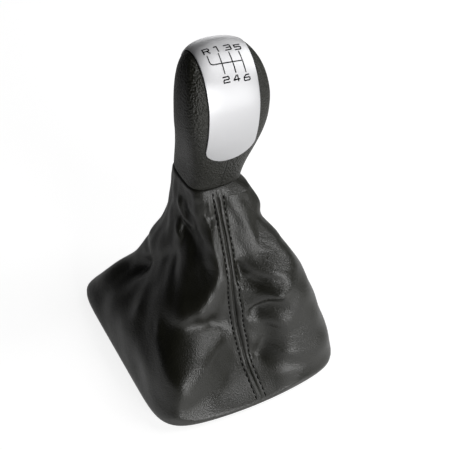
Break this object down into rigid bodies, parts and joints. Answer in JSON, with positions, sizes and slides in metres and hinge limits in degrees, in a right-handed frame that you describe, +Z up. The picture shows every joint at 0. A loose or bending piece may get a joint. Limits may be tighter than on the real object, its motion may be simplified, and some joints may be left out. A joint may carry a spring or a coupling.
{
  "type": "gear shift knob with boot",
  "caption": "Manual gear shift knob with a satin plate showing the gear pattern, on a sewn leather boot whose hem is carried by a clip-in console frame.",
  "frame": {"origin": "middle of the boot's outline, at the bottom edge of the console frame's flange", "axes": "+Z up along the lever, -Y towards the driver (the plate's side), +X to the right"},
  "size_m": [0.121, 0.1317, 0.1957],
  "materials": {
    "boot_leather": "black, fine grain, semi-gloss",
    "frame_plastic": "black, moulded",
    "spring_steel": "bright",
    "core_plastic": "black, moulded",
    "grip_skin": "black, grained, satin",
    "plate_silver": "satin silver",
    "bush_steel": "turned"
  },
  "bodies": {
    "frame": {"boot_frame": "frame_plastic", "frame_clips": "spring_steel"},
    "boot": {"boot_left_panel": "boot_leather", "boot_right_panel": "boot_leather"},
    "knob": {"knob_core": "core_plastic", "grip_skin": "grip_skin", "shift_plate": "plate_silver", "lever_bush": "bush_steel", "boot_ring": "frame_plastic", "ear_clamp": "spring_steel"}
  },
  "joints": [
    {"name": "shift_tilt", "type": "hinge", "parent": "frame", "child": "boot", "pos_m": [0, 0.0197, -0.071], "axis": [1, 0, 0], "range_deg": [-12, 12], "deforming": ["boot_left_panel", "boot_right_panel"]},
    {"name": "select_tilt", "type": "hinge", "parent": "boot", "child": "knob", "pos_m": [0, 0.0197, -0.071], "axis": [0, 1, 0], "range_deg": [-9, 4.5], "stiffness_Nm_per_rad": 10, "deforming": ["boot_left_panel", "boot_right_panel"]}
  ]
}
